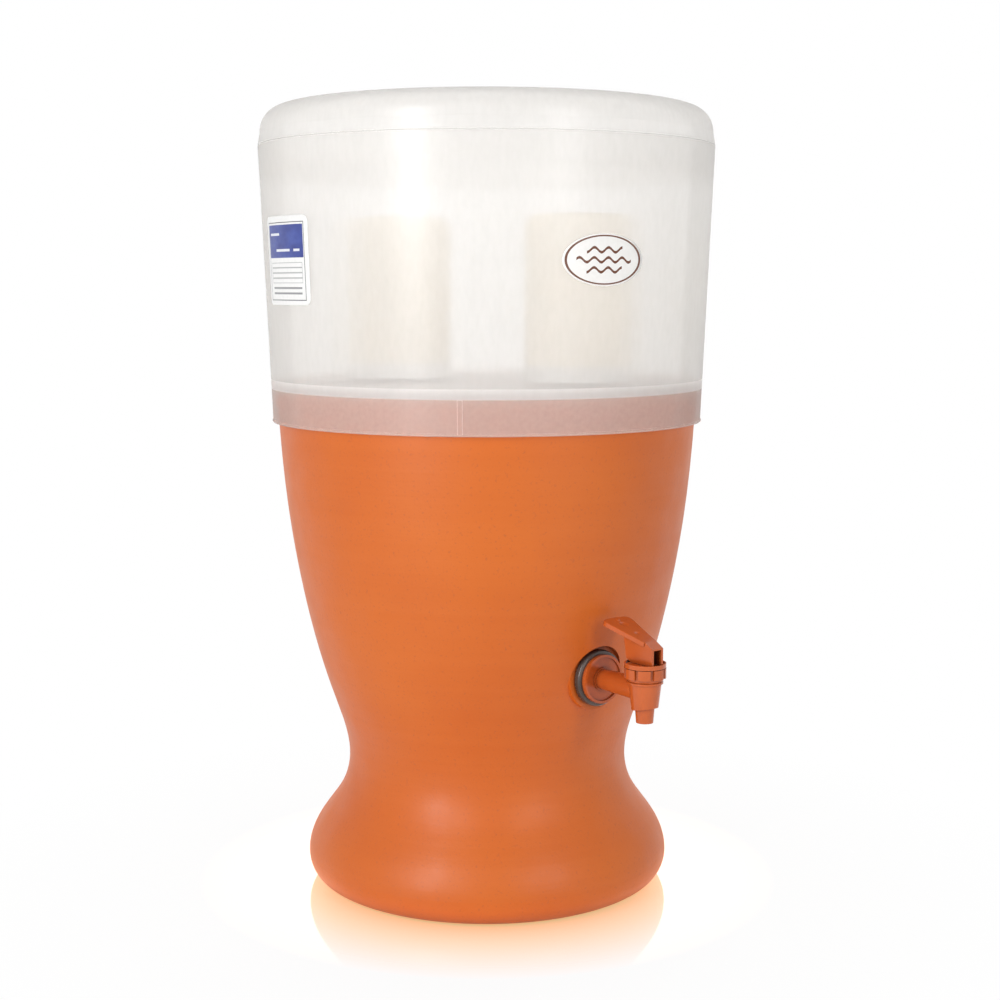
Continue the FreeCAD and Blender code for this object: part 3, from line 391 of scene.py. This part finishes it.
def label_print():
    """Generic print with no words: a blue panel, a ruled table and two plain bars in a frame.

    Its places and sizes are shares of the sheet's width and height.
    """
    s = Surface("label_print")
    across, up = s.sheet_place()
    paper = s.mixed(s.spread(s.noise(500, 2), 0, 1), (0.88, 0.88, 0.87), (0.93, 0.93, 0.92))

    def box(left, right, low, high):
        return s.maths("MULTIPLY", s.between(across, left, right), s.between(up, low, high))

    def outline(left, right, low, high, line):
        inside = box(left + line, right - line, low + line, high - line)
        return s.maths("SUBTRACT", box(left, right, low, high), inside)

    sheen = s.spread(s.noise(2.2, 2, s.stretched(30, 30, 60)), 0, 1)
    blue = s.mixed(sheen, (0.016, 0.03, 0.22), (0.05, 0.085, 0.36))
    print_colour = s.mixed(outline(0.07, 0.93, 0.05, 0.93, 0.010), paper, (0.10, 0.10, 0.11))
    print_colour = s.mixed(box(0.09, 0.91, 0.53, 0.90), print_colour, blue)
    for left, right, low in ((0.14, 0.40, 0.78), (0.30, 0.64, 0.60), (0.72, 0.84, 0.60)):
        print_colour = s.mixed(box(left, right, low, low + 0.028), print_colour, (0.80, 0.82, 0.88))
    row_height = 0.058
    for i in range(4):
        low = 0.245 + row_height * i
        row = outline(0.13, 0.88, low, low + row_height, 0.007)
        print_colour = s.mixed(row, print_colour, (0.42, 0.42, 0.42))
    for low in (0.12, 0.18):
        print_colour = s.mixed(box(0.16, 0.86, low, low + 0.022), print_colour, (0.30, 0.30, 0.31))
    s.colour(print_colour)
    s.roughness(s.spread(s.noise(400, 2), 0.30, 0.42))
    s.relief((s.noise(900, 2), 0.00001))
    return s.material


def badge_print():
    """Generic print with no words: a thin brown oval round three water lines.

    Its places and sizes are shares of the sheet's width and height, from its middle.
    """
    s = Surface("badge_print")
    across, up = [s.maths("SUBTRACT", place, 0.5) for place in s.sheet_place()]
    squares = s.maths("ADD", s.maths("MULTIPLY", across, across), s.maths("MULTIPLY", up, up))
    from_middle = s.maths("SQRT", squares)
    brown = (0.14, 0.038, 0.012)
    paper = s.mixed(s.spread(s.noise(500, 2), 0, 1), (0.93, 0.915, 0.89), (0.96, 0.95, 0.93))
    print_colour = s.mixed(s.between(from_middle, 0.446, 0.474), paper, brown)
    ripple = s.maths("MULTIPLY", s.maths("SINE", s.maths("MULTIPLY", across, 36)), 0.045)
    level = s.maths("SUBTRACT", up, ripple)
    half_stroke = 0.026
    for middle, half_length in ((0.19, 0.22), (0.0, 0.34), (-0.19, 0.22)):
        stroke = s.maths("MULTIPLY", s.between(level, middle - half_stroke, middle + half_stroke),
                         s.between(across, -half_length, half_length))
        print_colour = s.mixed(stroke, print_colour, brown)
    s.colour(print_colour)
    s.roughness(s.spread(s.noise(400, 2), 0.28, 0.40))
    s.relief((s.noise(900, 2), 0.00001))
    return s.material


def dress_nodes(frame):
    """Give each CAD piece the material of its slot."""
    makers = (clay, clay_plastic, frosted_plastic, white_plastic, dark_plastic, candle_ceramic,
              rubber, silicone, steel, float_foam)
    made = {maker.__name__: maker() for maker in makers}
    for part in frame["record"]["subparts"]:
        node = frame["nodes"][part["node"]]
        material = made[part["material_slot"]]
        if not node.material_slots:
            node.data.materials.append(material)
        for slot in node.material_slots:
            slot.material = material


# ---------------------------------------------------------------- return spring
def return_spring(frame):
    """The tap's spring, which stands on the stem's foot and is pressed together as the stem rises; here
    it is a copy of its CAD piece that moves with the stem and keeps its length.
    """
    node = frame["nodes"]["tap_spring"]
    spring = bpy.data.objects.new("return_spring", node.data.copy())
    bpy.context.scene.collection.objects.link(spring)
    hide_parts("tap_spring")
    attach(spring, "valve_stem")
    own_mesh(spring)


# ---------------------------------------------------------------- label and badge
def tub_point(bearing, height, proud):
    """Point on the reservoir's outside, moved out by proud."""
    share = (height - SKIRT_BOTTOM) / (MOUTH_HEIGHT - SKIRT_BOTTOM)
    radius = SKIRT_RADIUS + share * (MOUTH_RADIUS - SKIRT_RADIUS) + proud
    return Vector((radius * math.cos(bearing), radius * math.sin(bearing), height))


def label_half_width(height):
    """Half the label's width at a height, drawn in at its rounded corners."""
    from_end = min(height - LABEL_LOW, LABEL_HIGH - height)
    into_corner = max(LABEL_CORNER - from_end, 0)
    return LABEL_WIDTH / 2 - LABEL_CORNER + math.sqrt(LABEL_CORNER ** 2 - into_corner ** 2)


def label_rows():
    """Height and half width of the label's rows, closer together at its rounded corners."""
    turns = [LABEL_CORNER * (1 - math.cos(math.pi / 2 * i / LABEL_CORNER_ROWS))
             for i in range(LABEL_CORNER_ROWS + 1)]
    straight = LABEL_HIGH - LABEL_LOW - 2 * LABEL_CORNER
    heights = [LABEL_LOW + turn for turn in turns]
    heights += [LABEL_LOW + LABEL_CORNER + straight * i / LABEL_MIDDLE_ROWS
                for i in range(1, LABEL_MIDDLE_ROWS)]
    heights += [LABEL_HIGH - turn for turn in turns[::-1]]
    return [(height, label_half_width(height)) for height in heights]


def badge_rows():
    """Height and half width of the oval's rows."""
    turns = [math.pi * (i + 0.5) / BADGE_ROWS for i in range(BADGE_ROWS)]
    return [(BADGE_HEIGHT - BADGE_TALL / 2 * math.cos(turn), BADGE_WIDTH / 2 * math.sin(turn))
            for turn in turns]


def sticker(name, bearing, rows, print_material):
    """Printed sheet that follows the reservoir's curve, from its rows of (height, half width)."""
    low, high = rows[0][0], rows[-1][0]
    radius = tub_point(0, (low + high) / 2, 0).x
    widest = max(half for _, half in rows)
    points, places = [], []
    for height, half in rows:
        for i in range(PAPER_COLUMNS + 1):
            aside = half * (2 * i / PAPER_COLUMNS - 1)
            points.append(tub_point(bearing + aside / radius, height, PAPER_THICKNESS / 3))
            places.append((0.5 + aside / (2 * widest), (height - low) / (high - low)))
    row = PAPER_COLUMNS + 1
    faces = [(r * row + c, r * row + c + 1, (r + 1) * row + c + 1, (r + 1) * row + c)
             for r in range(len(rows) - 1) for c in range(PAPER_COLUMNS)]
    mesh = bpy.data.meshes.new(name)
    mesh.from_pydata(points, [], faces)
    layer = mesh.uv_layers.new(name="print")
    for loop in mesh.loops:
        layer.data[loop.index].uv = places[loop.vertex_index]
    mesh.shade_smooth()
    sheet = bpy.data.objects.new(name, mesh)
    bpy.context.scene.collection.objects.link(sheet)
    thick = sheet.modifiers.new("thickness", "SOLIDIFY")
    thick.thickness = PAPER_THICKNESS
    thick.offset = 1.0
    mesh.materials.append(print_material)
    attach(sheet, "reservoir")


# ---------------------------------------------------------------- studio
def bearing_place(bearing, distance, height):
    """Place round the pot, at a bearing that grows from the camera's to its right."""
    turn = CAMERA_BEARING + bearing
    return Vector((distance * math.sin(turn), -distance * math.cos(turn), height))


def softbox(name, bearing, distance, height, width, tall, power):
    lamp = bpy.data.lights.new(name, "AREA")
    lamp.shape = "RECTANGLE"
    lamp.size = width
    lamp.size_y = tall
    lamp.energy = power
    holder = bpy.data.objects.new(name, lamp)
    holder.location = bearing_place(bearing, distance, height)
    holder.rotation_euler = (STUDIO_CENTRE - holder.location).to_track_quat("-Z", "Y").to_euler()
    bpy.context.scene.collection.objects.link(holder)
    return holder


def seen_directly(nodes, links):
    """1 for rays that show the background: from the camera, off gloss or through glass."""
    path = nodes.new("ShaderNodeLightPath")
    total = path.outputs["Is Camera Ray"]
    for name in ("Is Glossy Ray", "Is Transmission Ray"):
        larger = nodes.new("ShaderNodeMath")
        larger.operation = "MAXIMUM"
        links.new(total, larger.inputs[0])
        links.new(path.outputs[name], larger.inputs[1])
        total = larger.outputs[0]
    return total


def world():
    """White all round, at a lower strength where it only lights the object."""
    scene = bpy.context.scene
    scene.world = bpy.data.worlds.new("studio")
    scene.world.use_nodes = True
    nodes, links = scene.world.node_tree.nodes, scene.world.node_tree.links
    background = nodes["Background"]
    background.inputs["Color"].default_value = (1, 1, 1, 1)
    strength = nodes.new("ShaderNodeMapRange")
    links.new(seen_directly(nodes, links), strength.inputs["Value"])
    strength.inputs["To Min"].default_value = WORLD_LIGHT
    strength.inputs["To Max"].default_value = 1.0
    links.new(strength.outputs["Result"], background.inputs["Strength"])


def floor_surface():
    """White sweep: near the foot it is polished and mirrors the clay, more strongly than a real mirror
    and tinted warm, and its own light there turns yellow as a painted warm reflection; further out it
    is plain.

    The paper gives up as much light as the mirror adds, so it stays white except below the object.
    """
    s = Surface("floor")
    s.colour((0.90, 0.90, 0.90, 1))
    s.roughness(0.6)
    away = s.new("ShaderNodeVectorMath", operation="LENGTH")
    s.set(away.inputs[0], s.place)
    from_axis = away.outputs["Value"]
    polish_and_glow = s.spread(from_axis, 1.0, 0.0, POLISH_AND_GLOW_START, POLISH_AND_GLOW_END)
    white = s.new("ShaderNodeEmission")
    # painted warm reflection: near the foot the floor's own light turns yellow, so the mirrored clay
    # looks orange
    s.set(white.inputs["Color"], s.mixed(polish_and_glow, (1.0, 1.0, 1.0), (0.53, 0.47, 0.22)))
    own_light = s.spread(from_axis, 0.90, 1.0, PAPER_START, PAPER_END)
    paper = s.blended(own_light, s.shader.outputs[0], white.outputs[0])
    mirror = s.new("ShaderNodeBsdfGlossy")
    # the mirror near the foot shows the clay's real reflection, painted stronger than full and tinted
    # warm
    s.set(mirror.inputs["Color"], s.mixed(polish_and_glow, (0.0, 0.0, 0.0), (1.7, 0.9, 0.8)))
    mirror.inputs["Roughness"].default_value = 0.05
    seen = s.new("ShaderNodeAddShader")
    s.set(seen.inputs[0], paper)
    s.set(seen.inputs[1], mirror.outputs[0])
    direct = seen_directly(s.nodes, s.links)
    s.set(s.output.inputs["Surface"], s.blended(direct, s.shader.outputs[0], seen.outputs[0]))
    return s.material


def floor():
    mesh = bpy.data.meshes.new("floor")
    half = FLOOR_HALF
    corners = [(-half, -half, 0), (half, -half, 0), (half, half, 0), (-half, half, 0)]
    mesh.from_pydata(corners, [], [(0, 1, 2, 3)])
    mesh.materials.append(floor_surface())
    sheet = bpy.data.objects.new("floor", mesh)
    sheet.location.z = -FLOOR_GAP
    bpy.context.scene.collection.objects.link(sheet)


def dark_card(name, bearing):
    """Dark card that is never seen itself, and keeps light off the object's side to draw its edge."""
    mesh = bpy.data.meshes.new(name)
    half = CARD_HALF_WIDTH
    corners = [(-half, 0, CARD_LOW), (half, 0, CARD_LOW), (half, 0, CARD_HIGH), (-half, 0, CARD_HIGH)]
    mesh.from_pydata(corners, [], [(0, 1, 2, 3)])
    s = Surface(name)
    s.colour((0.02, 0.02, 0.02, 1))
    s.roughness(0.9)
    mesh.materials.append(s.material)
    card = bpy.data.objects.new(name, mesh)
    card.location = bearing_place(bearing, CARD_DISTANCE, 0)
    card.rotation_euler.z = CAMERA_BEARING + bearing
    card.visible_camera = False
    card.visible_transmission = False
    card.visible_glossy = False
    bpy.context.scene.collection.objects.link(card)


def camera():
    scene = bpy.context.scene
    lens = bpy.data.cameras.new("camera")
    lens.lens = CAMERA_LENS
    lens.sensor_width = 36.0
    eye = bpy.data.objects.new("camera", lens)
    aside = Matrix.Rotation(CAMERA_BEARING, 3, "Z") @ Vector((CAMERA_ASIDE, 0, 0))
    eye.location = bearing_place(0, CAMERA_DISTANCE, CAMERA_HEIGHT) + aside
    eye.rotation_euler = (math.pi / 2 - CAMERA_TILT, 0, CAMERA_BEARING)
    scene.collection.objects.link(eye)
    scene.camera = eye


def studio():
    world()
    floor()
    softbox("window_left", math.radians(-35), distance=1.5, height=0.70, width=0.24, tall=1.1, power=12.5)
    softbox("window_right", math.radians(37), distance=1.6, height=0.75, width=0.24, tall=1.0, power=6.0)
    backdrop = softbox("backdrop", math.pi, distance=1.3, height=0.72, width=1.2, tall=0.8, power=17)
    backdrop.visible_camera = False
    backdrop.visible_transmission = False
    backdrop.visible_glossy = False
    for side in (-1, 1):
        dark_card(f"card_{side}", CARD_BEARING * side)
    camera()
    bpy.context.scene.view_settings.view_transform = "Standard"


# ---------------------------------------------------------------- the scene
def main():
    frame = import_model()
    dress_nodes(frame)
    return_spring(frame)
    sticker("label", LABEL_BEARING, label_rows(), label_print())
    sticker("badge", BADGE_BEARING, badge_rows(), badge_print())
    studio()


main()
